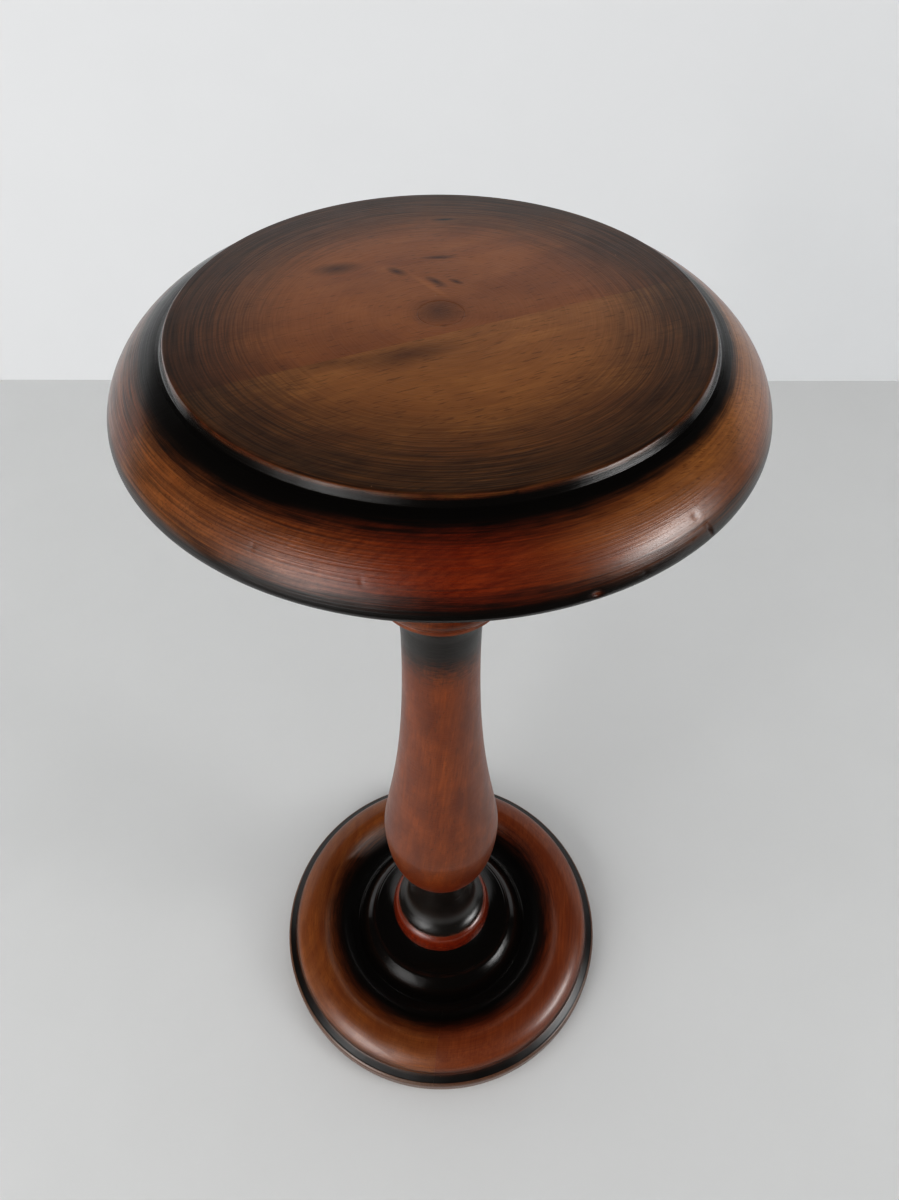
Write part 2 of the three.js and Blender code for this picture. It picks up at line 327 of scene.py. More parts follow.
def finishGroup(group, masks):
    for label in masks:
        group.interface.new_socket(label, in_out="OUTPUT", socket_type="NodeSocketFloat")
    end = group.nodes.new("NodeGroupOutput")
    for label, value in masks.items():
        group.links.new(value, end.inputs[label])
    return group


def useGroup(tree, group, inputs):
    return addNode(tree, "Group", inputs, node_tree=group)


def makeWoodFigure():
    # beech-like wood with its grain along X: growth rings round a far pith, fibres, short flecks and
    # the clouds that stain leaves in it
    group, place, ringSize = newGroup("woodFigure", "Ring Size")
    wander = noise(group, stretched(group, place, (9, 20, 20)), 1.0, 4, 0.6)
    split = addNode(group, "SeparateXYZ", {0: place})
    toPith = calc(group, "SQRT", calc(group, "ADD", calc(group, "POWER", split.outputs[1], 2.0),
                                      calc(group, "POWER", split.outputs[2], 2.0)))
    bent = calc(group, "ADD", toPith, times(group, wander, 0.03))
    rings = addNode(group, "TexNoise", {"W": calc(group, "DIVIDE", bent, ringSize), "Scale": 1.0,
                                        "Detail": 2.0, "Roughness": 0.55}, noise_dimensions="1D")
    fibre = noise(group, stretched(group, place, (16, 760, 760)), 1.0, 4, 0.65)
    cloud = noise(group, stretched(group, place, (18, 42, 42)), 1.0, 4, 0.6, 0.6)
    dash = noise(group, stretched(group, place, (190, 1500, 1500)), 1.0, 1, 0.4)
    return finishGroup(group, {"Figure": between(group, rings.outputs["Fac"], 0.3, 0.7),
                               "Fibre": between(group, fibre, 0.25, 0.75),
                               "Fleck": between(group, dash, 0.6, 0.74),
                               "Cloud": between(group, cloud, 0.36, 0.64)})


def makeTurningMarks():
    # marks that run round the axis: noise read at (cos a, sin a, distance along the outline)
    group, centred, run = newGroup("turningMarks", "Run")
    flat = addNode(group, "VectorMath", {0: centred, 1: (1.0, 1.0, 0.0)}, operation="MULTIPLY")
    ray = addNode(group, "VectorMath", {0: flat.outputs[0]}, operation="NORMALIZE")
    split = addNode(group, "SeparateXYZ", {0: ray.outputs[0]})
    place = addNode(group, "CombineXYZ", {0: split.outputs[0], 1: split.outputs[1], 2: run}).outputs[0]
    lines = noise(group, stretched(group, place, (2.2, 2.2, 1500)), 1.0, 2, 0.6)
    streaks = noise(group, stretched(group, place, (6, 6, 520)), 1.0, 3, 0.6)
    swirl = noise(group, stretched(group, place, (1.6, 1.6, 60)), 1.0, 3, 0.5)
    return finishGroup(group, {"Lines": between(group, lines, 0.3, 0.7),
                               "Streaks": between(group, streaks, 0.28, 0.72),
                               "Swirl": between(group, swirl, 0.3, 0.7)})


def makeWearAndHighlights():
    # use marks: sparse light specks, and a broken-up mask for rubbed edges, which on the column's lips
    # paints highlights
    group, place, edge = newGroup("wearAndHighlightMarks", "Edge")
    cells = addNode(group, "TexVoronoi", {"Vector": place, "Scale": 150.0})
    size = times(group, between(group, cells.outputs["Color"], 0.72, 1.0), 0.07)
    specks = calc(group, "LESS_THAN", cells.outputs["Distance"], size)
    edgeBreakup = noise(group, place, 190.0, 3, 0.65)
    rubbedAndHighlight = times(group, edge, between(group, edgeBreakup, 0.3, 0.6))
    return finishGroup(group, {"Specks": specks, "RubbedAndHighlight": rubbedAndHighlight})


woodFigure = makeWoodFigure()
turningMarks = makeTurningMarks()
wearAndHighlightMarks = makeWearAndHighlights()


def softPatch(tree, place, mark):
    # a soft elliptical spot: 1 in the middle, 0 at its rim; centre and size in millimetres
    local = addNode(tree, "Mapping", {"Vector": place, "Location": [c * mm for c in mark["centre"]],
                                      "Rotation": (0.0, 0.0, radians(mark["degrees"])),
                                      "Scale": [c * mm for c in mark["size"]]},
                    vector_type="TEXTURE").outputs[0]
    return addNode(tree, "TexGradient", {"Vector": local}, gradient_type="SPHERICAL").outputs["Fac"]


def newMaterial(name):
    material = bpy.data.materials.new(name)
    material.use_nodes = True
    tree = material.node_tree
    shader = tree.nodes["Principled BSDF"]
    place = addNode(tree, "TexCoord").outputs["Object"]
    return material, tree, shader, place


def meshValue(tree, key):
    return addNode(tree, "Attribute", attribute_name=key).outputs["Fac"]


def bump(tree, shader, height, strength, distance):
    node = addNode(tree, "Bump", {"Strength": strength, "Distance": distance, "Height": height})
    tree.links.new(node.outputs[0], shader.inputs["Normal"])


def stainedWood(name, look):
    # brown stain under satin lacquer, with black sprayed at the edges; look holds what differs per piece.
    # The black also paints shade in the column's crease, and the rubbed-edge colour paints highlights on
    # the column's lips.
    material, tree, shader, place = newMaterial(name)
    run, shade, red, edge, dull, pale, glossy = (
        meshValue(tree, key) for key in ("run", "shade", "red", "edge", "dull", "pale", "gloss"))
    grainPlace = stretched(tree, place, (1, 1, 1), look["grainTurn"], look["grainShift"])
    figure = useGroup(tree, woodFigure, {"Place": grainPlace, "Ring Size": look["ringSize"]}).outputs
    turning = useGroup(tree, turningMarks, {"Place": place, "Run": run}).outputs
    wearAndHighlight = useGroup(tree, wearAndHighlightMarks, {"Place": place, "Edge": edge}).outputs

    ringed = times(tree, figure["Figure"], 1 - look["clouds"])
    tone = calc(tree, "MULTIPLY_ADD", figure["Cloud"], look["clouds"], ringed)
    wood = mix(tree, tone, look["light"], look["dark"])
    wood = mix(tree, times(tree, figure["Fibre"], look["fibre"]), wood, look["dark"])
    wood = mix(tree, times(tree, figure["Fleck"], look["fleck"]), wood, look["deep"])
    blotch = times(tree, turning["Swirl"], between(tree, dull, 0.0, 1.0, look["swirl"], 0.05))
    wood = mix(tree, blotch, wood, look["deep"])
    redWood = mix(tree, figure["Fibre"], look["redLight"], look["redDark"])
    redWood = mix(tree, times(tree, figure["Cloud"], 0.4), redWood, look["redDark"])
    wood = mix(tree, red, wood, redWood)
    for mark in look["spots"]:
        amount = calc(tree, "MULTIPLY", softPatch(tree, place, mark), mark["amount"], clamp=True)
        wood = mix(tree, amount, wood, look[mark["tone"]])

    # the black stain breaks up into streaks and lines where it fades out
    window = times(tree, shade, calc(tree, "SUBTRACT", 1.0, shade))
    window = times(tree, window, between(tree, dull, 0.0, 1.0, 1.0, 0.4))
    ragged = calc(tree, "SUBTRACT", turning["Streaks"], 0.5)
    ragged = calc(tree, "MULTIPLY_ADD", calc(tree, "SUBTRACT", turning["Lines"], 0.5), 0.7, ragged)
    black = calc(tree, "MULTIPLY_ADD", times(tree, window, look["ragged"]), ragged, shade)
    black = calc(tree, "MAXIMUM", calc(tree, "MINIMUM", black, 1.0), 0.0)
    discLines = calc(tree, "MULTIPLY_ADD", shade, look["discLines"], 0.08)
    moreLines = calc(tree, "SUBTRACT", discLines, look["lines"])
    strength = calc(tree, "MULTIPLY_ADD", dull, moreLines, look["lines"])
    wood = mix(tree, times(tree, turning["Lines"], strength), wood, look["deep"])
    colour = mix(tree, black, wood, mix(tree, dull, look["black"], look["faceBlack"]))
    bare = mix(tree, figure["Fibre"], look["bareLight"], look["bareDark"])
    bareAmount = times(tree, pale, between(tree, turning["Swirl"], 0, 1, 1, 0.7))
    colour = mix(tree, bareAmount, colour, bare)
    # colour of rubbed edges and chips; on the column's lips the same colour is a painted highlight
    colour = mix(tree, wearAndHighlight["RubbedAndHighlight"], colour, look["rubbedAndHighlight"])
    colour = mix(tree, times(tree, wearAndHighlight["Specks"], look["specks"]), colour, look["scratch"])

    satin = calc(tree, "MULTIPLY_ADD", dull, look["dull"] - look["gloss"], look["gloss"])
    satin = calc(tree, "MULTIPLY_ADD", glossy, look["polished"] - look["gloss"], satin)
    sheen = between(tree, noise(tree, place, 60.0, 3, 0.6), 0.2, 0.8, -0.04, 0.04)
    roughness = calc(tree, "MULTIPLY_ADD", turning["Lines"], 0.05, calc(tree, "ADD", satin, sheen))
    setInputs(tree, shader, {
        "Base Color": colour, "Roughness": roughness, "Specular IOR Level": look["specular"],
        "Coat Weight": calc(tree, "MULTIPLY_ADD", glossy, 1 - look["coat"], look["coat"]),
        "Coat Roughness": look["coatGloss"]})
    grainHeight = calc(tree, "MULTIPLY_ADD", figure["Fibre"], 0.4, turning["Lines"])
    ripple = calc(tree, "MULTIPLY_ADD", noise(tree, place, 240.0, 2, 0.5), 0.6, grainHeight)
    bump(tree, shader, ripple, look["relief"], 0.00012)
    return material


def boardLook(angle, pithDepth, **changes):
    # grain along the board's own direction, with the pith pithDepth metres below the face
    look = {
        "grainTurn": (0.0, 0.0, -radians(angle)), "grainShift": (0.0, 0.0, pithDepth),
        "ringSize": 0.0055,
        "light": srgb(138, 80, 38), "dark": srgb(106, 56, 26), "deep": srgb(66, 31, 15),
        "redLight": srgb(128, 52, 20), "redDark": srgb(96, 32, 12), "black": srgb(19, 15, 12),
        "rubbedAndHighlight": srgb(104, 56, 36), "scratch": srgb(150, 112, 84), "faceBlack": srgb(41, 35, 29),
        "bareLight": srgb(89, 71, 59), "bareDark": srgb(71, 54, 43),
        "fibre": 0.5, "fleck": 0.45, "swirl": 0.3, "lines": 0.3, "discLines": 0.8, "clouds": 0.5,
        "ragged": 1.6, "specks": 0.6, "gloss": 0.3, "dull": 0.42, "polished": 0.16,
        "specular": 0.24, "coat": 0.4, "coatGloss": 0.12, "relief": 0.3, "spots": [],
    }
    look.update(changes)
    return look


def holeCutter(radius, length, place, direction=(0, 0, 1), sides=32):
    # a plain round bar, as its own closed mesh, for taking holes out of wood
    line = outline((0, 0), (radius, 0), (radius, length), (0, length))
    mesh = gridMesh("hole", turnedPoints(line, evenAngles(sides)))
    turn = Vector((0, 0, 1)).rotation_difference(Vector(direction)).to_matrix().to_4x4()
    mesh.transform(Matrix.Translation(Vector(place) * mm) @ turn)
    return mesh


def seamPoint(seam, distance):
    # a point on a glue joint, its distance along the joint measured from the middle
    angle = radians(seam["angle"])
    return (distance * cos(angle) - seam["offset"] * sin(angle),
            distance * sin(angle) + seam["offset"] * cos(angle))


def dowelHoles(seam, spec):
    angle = radians(seam["angle"] + 90)
    across = Vector((cos(angle), sin(angle), 0))
    length = spec["length"] + slack["ends"]
    cutters = []
    for side in (-1, 1):
        middle = Vector((*seamPoint(seam, side * spec["spread"]), spec["z"]))
        start = middle - across * length / 2
        cutters.append(holeCutter(spec["radius"] + slack["hole"], length, start, across))
    return cutters


def screwPlaces(spec):
    angles = [radians(spec["startDegrees"] + 90 * i) for i in range(4)]
    return [(spec["circle"] * cos(a), spec["circle"] * sin(a)) for a in angles]


cleatScrew = {"circle": 50.0, "startDegrees": 68.2, "headRadius": 4.4, "shankRadius": 2.2, "length": 34.0,
              "pitch": 1.6, "recess": 2.6}
topDowel = {"radius": 5.0, "length": 50.0, "spread": 62.0, "z": (standHeight + undersideZ) / 2}
baseDowel = {"radius": 4.0, "length": 44.0, "spread": 100.0, "z": 11.0}


# the top: two boards, turned as one

topBoards = {
    "discRadius": 104.5, "stepDrop": 3.9, "stepSpread": 1.6, "stepFace": 25, "arris": 1.0, "rimPower": 1.57,
    "rollRadius": 12.6, "rollHeight": 6.5, "plugRadius": 9.0, "counterbore": 12.0,
    "screwHole": 3.3, "mortise": 15.3, "mortiseDepth": 10.6, "angles": 440,
    "seam": {"angle": 23.2, "offset": -13.7, "gap": 0.04},
    # degrees round the rim, height, half-width, half-height and depth of each chip
    "chips": [(-46.5, 575.5, 0.8, 2.2, 0.9), (-68, 573.5, 1.8, 1.0, 0.7), (-60, 575, 1.1, 0.7, 0.35),
              (-101, 582.5, 0.8, 0.8, 0.25), (-118, 584, 1.0, 0.7, 0.25), (-49, 583, 1.6, 0.8, 0.3)],
}


def topLine(top):
    disc, z = top["discRadius"], standHeight
    foot = (disc + top["stepSpread"], z - top["stepDrop"])
    widestZ = undersideZ + top["rollHeight"]
    rollSize = (top["rollRadius"], top["rollHeight"])
    roll = arcLine((topRadius - rollSize[0], widestZ), rollSize, -90, 0, 30)
    rim = arcLine((foot[0], widestZ), (topRadius - foot[0], foot[1] - widestZ), 0, 84, 60, top["rimPower"])
    arris = arcLine((disc - top["arris"], z - top["arris"]), (top["arris"], top["arris"]),
                    top["stepFace"], 90, 12)
    faceRun = 0.78 * top["stepDrop"]
    faceFoot = arris[0] + faceRun * np.array([tan(radians(top["stepFace"])), -1.0])
    cove = sweepLine(rim[-1], (faceFoot[0] + 0.9, foot[1] - 0.05), (faceFoot[0] + 0.2, faceFoot[1] - 0.4),
                     faceFoot, 18)
    bore, seatZ, mortiseZ = top["plugRadius"] + 0.02, z - top["counterbore"], undersideZ + top["mortiseDepth"]
    return outline(
        (top["mortise"], undersideZ), roll, rim[1:-1], cove, arris, (bore, z), (bore, seatZ),
        (top["screwHole"], seatZ), (top["screwHole"], mortiseZ), (top["mortise"], mortiseZ))


def topValues(top, line, angles):
    # shade: how much black stain; red: the redder stretch of the rim; edge: the rubbed arris;
    # dull: the rubbed-down finish of the flat face; gloss: the polished step round it
    radius, height = line[:, :1] + 0 * angles, line[:, 1:] + 0 * angles
    disc = top["discRadius"]
    onFace = height > standHeight - 1.2
    faceShade = 0.76 * smoothStep(0.5 * disc, 0.97 * disc, radius)
    degrees = np.degrees(angles)
    behind = smoothStep(95, 170, degrees)   # 1 at the far left, so that the shading meets itself there
    toRight = smoothStep(-80, -45, degrees) * (1 - behind)
    toLeft = np.maximum(1 - smoothStep(-130, -94, degrees), behind)
    rimShade = 1 - smoothStep(disc + 5 + 2.5 * toLeft, disc + 17.5 + 4 * toLeft - 7 * toRight, radius)
    lowShade = 1 - smoothStep(undersideZ + 7.5, undersideZ + 19, height)
    farLeft = np.maximum(1 - smoothStep(-158, -132, degrees), behind)
    rim = np.maximum(np.maximum(rimShade, lowShade), 0.3 * toLeft + 0.25 * farLeft)
    below = height < undersideZ + 5
    shade = np.where(onFace, faceShade, rim)
    shade = np.where(below & (radius < topRadius - 8), 0.9, shade)
    red = np.where(onFace, 0.0, 0.25 + 0.75 * np.exp(-((angles - np.radians(-88)) / np.radians(28)) ** 2))
    lowRim = smoothStep(disc * 1.14, disc * 1.2, radius) * (height < standHeight - 4)
    red = red * (1 - 0.8 * toRight) + 0.35 * toRight * lowRim
    edge = 0.5 * np.exp(-((radius - disc + 0.3) / 0.3) ** 2) * (height > standHeight - 1.0)
    dull = onFace * smoothStep(disc, disc - 3, radius)
    step = (radius > disc - 0.3) & (radius < disc + 3.4) & (height > standHeight - 4.6)
    return {"shade": shade, "red": red, "edge": edge, "dull": dull, "gloss": 0.8 * step}


def chipped(top, points, angles):
    # each chip pushes the rim inwards by depth * exp(-(across / width)^2 - (up / height)^2)
    radius = np.hypot(points[..., 0], points[..., 1])
    chipMask = np.zeros(radius.shape)
    for degrees, z, width, height, depth in top["chips"]:
        up = points[..., 2] - z
        across = (angles - radians(degrees)) * topRadius + 0.6 * up   # chips lean over
        bell = np.exp(-(across / width) ** 2 - (up / height) ** 2) * (radius > topRadius - 12)
        points[..., :2] *= (1 - depth * bell / radius)[..., None]
        chipMask = np.maximum(chipMask, bell * (depth > 0.4))   # only deep chips show bare wood
    return chipMask


def chipAngles(top):
    # even angles, with finer ones where a chip is
    fine = [radians(chip[0]) + np.radians(np.linspace(-2.4, 2.4, 19)) for chip in top["chips"]]
    return np.unique(np.concatenate([evenAngles(top["angles"]) - np.pi, *fine]))


# back board: its own browner tone, lifted and greyed as painted sheen from the wall on the far side
backBoard = {"light": srgb(162, 98, 51), "dark": srgb(136, 78, 42), "fibre": 0.35}
frontBoard = {"light": srgb(180, 119, 63), "dark": srgb(144, 90, 48), "fibre": 0.8}


def spot(x, y, degrees, size, amount, tone="deep"):
    # a soft patch of another colour in the face of the top, in millimetres
    return {"centre": (x, y, standHeight), "degrees": degrees, "size": size, "amount": amount, "tone": tone}


plugSpot = spot(-1, 2, 0, (13, 13, 20), 0.75)
frontPatches = [spot(-12, -28, 20, (26, 9, 8), 0.75), spot(-40, -34, 10, (18, 7, 8), 0.5)]


def makeTop(top):
    line = softened(topLine(top))
    angles = chipAngles(top)
    values = topValues(top, line, angles)
    points = turnedPoints(line, angles)
    values["edge"] = np.maximum(values["edge"], chipped(top, points, angles))
    values["run"] = runOf(line) * mm
    seamTurn = top["seam"]["angle"]
    spots = [
        spot(-4, 20, -50, (15, 1.8, 6), 1.6, "light"), spot(-23, 34, -20, (10, 5, 6), 0.7, "light"),
        spot(-2, 24, -45, (7, 2.4, 6), 1.0), spot(6.2, 24, -35, (4, 1.8, 6), 1.0),
        spot(-18, 32, -35, (6, 3, 6), 1.0), spot(-42.7, 34, 15, (13, 6, 6), 0.9),
        spot(-0.7, 44, 5, (9, 1.8, 6), 1.0), spot(1.6, 78.5, 5, (7, 1.4, 6), 1.2, "black"), plugSpot,
    ]
    looks = {
        "top_board_back": boardLook(seamTurn, 0.05, spots=spots, **backBoard),
        "top_board_front": boardLook(seamTurn, 0.085, spots=frontPatches, **frontBoard),
    }
    blank = gridMesh("top_blank", points, True, **values)
    wide, deep = cleatScrew["shankRadius"] + slack["hole"], cleatScrew["length"] - 13
    pilots = [holeCutter(wide, deep, (x, y, undersideZ - 1)) for x, y in screwPlaces(cleatScrew)]
    blank = carved(blank, dowelHoles(top["seam"], topDowel) + pilots)
    makeBoards(blank, top["seam"], looks)


makeTop(topBoards)


# plug over the top screw

plug = {"radius": 9.0, "thickness": 7.6, "chamfer": 0.6}


def makePlug(plug):
    z, radius = standHeight, plug["radius"]
    line = softened(outline(
        (0, z - plug["thickness"]), (radius - plug["chamfer"], z - plug["thickness"]),
        (radius, z - plug["thickness"] + plug["chamfer"]), (radius, z), (0, z)), closed=False, edge=0.2)
    line[0, 0] = line[-1, 0] = 0
    mesh = turnedMesh("top_plug", line, evenAngles(96), closedLine=False, dull=1.0)
    look = boardLook(topBoards["seam"]["angle"], 0.05, spots=[plugSpot], **backBoard)
    finishWood("top_plug", mesh, look, "dark_wood")


makePlug(plug)


# cleat under the top

cleat = {"radius": 62.0, "faceRadius": 53.0, "lip": 5.0, "bore": 15.3}


def makeCleat(cleat):
    lipZ = cleatTopZ - cleat["lip"]
    line = softened(outline(
        (cleat["bore"], cleatBottomZ),
        arcLine((cleat["faceRadius"], lipZ), (cleat["radius"] - 2 - cleat["faceRadius"], lipZ - cleatBottomZ),
                -90, 0, 24),
        (cleat["radius"], lipZ), (cleat["radius"], cleatTopZ), (cleat["bore"], cleatTopZ)))
    mesh = turnedMesh("top_cleat", line, evenAngles(240), shade=0.8, red=0.3)
    sinks = []
    for x, y in screwPlaces(cleatScrew):
        wide, narrow = (cleatScrew[key] + slack["sink"] for key in ("headRadius", "shankRadius"))
        line = outline((0, -1), (wide, -1), (wide, 0.6), (narrow, 0.6 + wide - narrow), (narrow, 20), (0, 20))
        sink = gridMesh("sink", turnedPoints(line, evenAngles(40)))
        sink.transform(Matrix.Translation(Vector((x, y, cleatBottomZ)) * mm))
        sinks.append(sink)
    mesh = carved(mesh, sinks)
    finishWood("top_cleat", mesh, boardLook(113, 0.06), "dark_wood")


makeCleat(cleat)


# column

column = {
    "tenon": 15.0, "lowerBeadZ": 46.3, "lowerLipZ": 62.4, "vaseZ": 195.0, "vaseFootZ": 132.0,
    "vaseRadius": 41.2, "waistZ": 410.0, "waistRadius": 22.2, "collarLipZ": 447.0, "collarBeadZ": 457.0,
    "angles": 132, "boltHole": 4.3, "boltHoleTop": 76.0, "screwHole": 3.3, "screwHoleFoot": 518.3,
}


def columnLine(c):
    seatZ, capZ = hubZ + slack["seat"], cleatBottomZ - slack["seat"]
    lip, neck = c["lowerLipZ"], 20.6
    tenon, bolt, beadZ, vaseZ, belly, waistZ, collarZ = (
        c[key] for key in ("tenon", "boltHole", "lowerBeadZ", "vaseZ", "vaseRadius", "waistZ", "collarLipZ"))
    return outline(
        (0, c["boltHoleTop"]), (bolt, c["boltHoleTop"]), (bolt, columnBottomZ),
        (tenon - 1, columnBottomZ), (tenon, columnBottomZ + 1), (tenon, seatZ), (36.6, seatZ),
        arcLine((34.7, beadZ), (6, 5.8), -68, 0, 20),
        arcLine((34.7, beadZ), (6, 16), 3, 80, 30),
        (35.5, lip + 0.5),
        sweepLine((34.4, lip + 0.9), (26, 67.5), (neck, 83), (neck, 112), 50),
        arcLine((neck, vaseZ), (belly - neck, vaseZ - c["vaseFootZ"]), -84, -4, 70, 2.15),
        sweepLine((belly, vaseZ), (belly, vaseZ + 23),
                  (c["waistRadius"], waistZ - 132), (c["waistRadius"], waistZ), 80),
        sweepLine((22.6, waistZ + 16), (23.3, 434), (24.4, 441), (33.2, collarZ - 0.6), 40),
        (34.5, collarZ), (34.5, collarZ + 2.6), (33.1, collarZ + 3.6),
        arcLine((33.4, c["collarBeadZ"]), (4.2, 6.8), -80, 80, 30),
        (30.5, 465), (30.5, 467),
        sweepLine((27.5, 468), (25.2, 471), (24.6, 476), (24.6, 484), 20),
        sweepLine((24.6, 496), (25.6, 520), (32, 532), (39, 537.5), 40),
        (41, 538.5), arcLine((40.2, 544.4), (2.6, 5.3), -60, 90, 24),
        (tenon, capZ), (tenon, columnTopZ - 1), (tenon - 1, columnTopZ),
        (c["screwHole"], columnTopZ), (c["screwHole"], c["screwHoleFoot"] - 2), (0, c["screwHoleFoot"] - 2))


def columnValues(c, line, angles):
    # black in the cove, the flare and the neck; painted shade as a black line in the crease; a darker
    # collar bead; red on the bead and the foot of the vase; painted highlights on the lips; a glossier
    # finish low down
    z = line[:, 1:] + 0 * angles
    flare = smoothStep(380, 416, z) * (z < c["collarLipZ"] - 0.2)
    cove = smoothStep(c["lowerLipZ"] - 0.3, c["lowerLipZ"] + 0.3, z) * (1 - smoothStep(126, 140, z))
    neck = smoothStep(463, 467, z) * (1 - smoothStep(500, 524, z))
    # painted shade: a black line in the groove between the collar bead and its lip
    creaseShade = np.exp(-((z - 450.8) / 1.1) ** 2)
    foot = 1 - smoothStep(hubZ - 2, hubZ + 1, z)
    collarBead = 0.35 * smoothStep(452, 455, z) * (1 - smoothStep(461, 463, z))
    shade = np.clip(flare + cove + neck + creaseShade + foot + collarBead, 0, 1)
    pear = 1 - smoothStep(138, 185, z)
    red = np.where(z < c["lowerLipZ"], 1.0, 0.85 * pear)
    # painted highlights: light lines of the rubbed-edge colour on the lower lip and the collar lip
    edge = 0.5 * np.exp(-((z - c["lowerLipZ"]) / 0.8) ** 2)
    edge += 0.8 * np.exp(-((z - c["collarLipZ"]) / 0.6) ** 2)
    return {"shade": shade, "red": red, "edge": edge, "gloss": 0.75 * (1 - smoothStep(112, 130, z))}


def makeColumn(c):
    line = softened(columnLine(c), closed=False)
    line[0, 0] = line[-1, 0] = 0
    angles = evenAngles(c["angles"])
    mesh = turnedMesh("column", line, angles, closedLine=False, **columnValues(c, line, angles))
    look = boardLook(0, 0, grainTurn=(radians(5), radians(84), 0.0), grainShift=(0.0, 0.016, 0.02),
                     ringSize=0.009, light=srgb(142, 71, 24), dark=srgb(96, 41, 12), swirl=0.1, lines=0.1,
                     redLight=srgb(122, 46, 18), redDark=srgb(94, 32, 12), coat=0.3, coatGloss=0.24,
                     gloss=0.33, specular=0.25, clouds=0.6, fibre=0.75, black=srgb(30, 27, 24))
    finishWood("column", mesh, look)
    print("column ready:", len(mesh.polygons), "faces")


makeColumn(column)


# base: two boards, turned as one

baseBoards = {
    "crestRadius": 108.0, "crestZ": 31.5, "bandRadius": 126.4, "bandZ": 17.7, "sideRadius": 130.6,
    "sideZ": 10.4, "valleyRadius": 79.0, "valleyZ": 14.5, "shoulder": (41.0, 7.8), "shoulderSize": 32.0,
    "tenonHole": 15.3, "counterbore": 19.0, "ceilingZ": 14.0, "reliefZ": 5.0, "reliefRadius": 96.0,
    "angles": 480, "seam": {"angle": 82.0, "offset": -12.0, "gap": 0.06},
}


def baseLine(b):
    crest, valley, bottom = (b["crestRadius"], b["crestZ"]), (b["valleyRadius"], b["valleyZ"]), baseBottomZ
    return outline(
        (b["tenonHole"], b["ceilingZ"]), (b["counterbore"], b["ceilingZ"]), (b["counterbore"], b["reliefZ"]),
        (b["reliefRadius"] - 1, b["reliefZ"]), (b["reliefRadius"] + 2, bottom),
        (baseRadius - 1.6, bottom), (baseRadius, bottom + 1.6),
        arcLine((b["sideRadius"], b["sideZ"]), (baseRadius - b["sideRadius"], 3.4), 0, 80, 12),
        (b["bandRadius"], b["bandZ"] - 1),
        arcLine((crest[0], b["bandZ"]), (126 - crest[0], crest[1] - b["bandZ"]), 0, 90, 50, 1.8),
        sweepLine(crest, (94, crest[1]), (90, valley[1]), valley, 70)[1:],
        sweepLine(valley, (77, valley[1]), (75, valley[1] + 0.1), (72.9, valley[1] + 0.4), 10)[1:],
        arcLine(b["shoulder"], (b["shoulderSize"], b["shoulderSize"]), 13.5, 53, 60),
        sweepLine((60, 33.6), (59.2, 34.1), (58.4, 34.5), (57.4, 34.6), 10),
        arcLine((56.3, 34.55), (0.9, 0.35), 50, 120, 10),
        sweepLine((55, 35.2), (48, 36), (43, 37.5), (38.6, hubZ), 24),
        (b["tenonHole"], hubZ))


def baseValues(b, line, angles):
    # black from the hub to the valley and again round the outside; a redder band to the right; a
    # rubbed ring on the hub; pale bare wood at the side and underneath; a glossy shoulder
    radius, height = line[:, :1] + 0 * angles, line[:, 1:] + 0 * angles
    inner = 1 - smoothStep(84, 105, radius)
    outer = smoothStep(122.5, 128, radius)
    onSide = (radius > b["sideRadius"] + 1.1) & (height < b["sideZ"] + 3.5)
    under = (height < baseBottomZ + 0.6) | ((radius < b["reliefRadius"] + 1) & (height < b["ceilingZ"] + 0.2))
    shade = np.where(under | onSide, 0.0, np.maximum(inner, outer))
    right = smoothStep(-100, -75, np.degrees(angles)) * (1 - smoothStep(70, 90, np.degrees(angles)))
    red = np.where(onSide | under, 0.0, 0.12 + 0.6 * right)
    edge = 0.15 * np.exp(-((radius - 57.7) / 0.7) ** 2) * (height > 33)
    pale = np.where(onSide, 0.85, np.where(under, 0.6, 0.0))
    glossy = 1 - smoothStep(70, 84, radius)
    return {"shade": shade, "red": red, "edge": edge, "pale": pale, "gloss": glossy}


def makeBase(b):
    line = softened(baseLine(b))
    angles = evenAngles(b["angles"]) - np.pi
    lacquer = {"coatGloss": 0.14, "gloss": 0.34, "polished": 0.1, "specular": 0.32}
    left = {"light": srgb(154, 94, 46), "dark": srgb(124, 68, 30)}
    right = {"light": srgb(146, 82, 46), "dark": srgb(116, 60, 32),
             "redLight": srgb(140, 70, 34), "redDark": srgb(108, 48, 22)}
    looks = {"base_board_left": boardLook(b["seam"]["angle"], 0.06, **left, **lacquer),
             "base_board_right": boardLook(b["seam"]["angle"], 0.045, **right, **lacquer)}
    blank = turnedMesh("base_blank", line, angles, **baseValues(b, line, angles))
    blank = carved(blank, dowelHoles(b["seam"], baseDowel))
    makeBoards(blank, b["seam"], looks)


makeBase(baseBoards)


# screws and bolt: head and thread are one surface, points[i, j] = (r(i, j), angle j, height i)

def zincSteel(name):
    # bright zinc plate: cloudy, with faint turning lines and a little dulling
    material, tree, shader, place = newMaterial(name)
    cloud = noise(tree, place, 700.0, 4, 0.65)
    patches = noise(tree, place, 160.0, 3, 0.6)
    bright = mix(tree, between(tree, cloud, 0.3, 0.7), srgb(176, 178, 180), srgb(146, 148, 150))
    tinted = mix(tree, between(tree, patches, 0.5, 0.75), bright, srgb(126, 120, 106))
    setInputs(tree, shader, {"Base Color": tinted, "Metallic": 1.0,
                             "Roughness": between(tree, cloud, 0.2, 0.8, 0.24, 0.42)})
    bump(tree, shader, noise(tree, stretched(tree, place, (1, 1, 6)), 1400.0, 2, 0.5), 0.25, 0.00004)
    return material


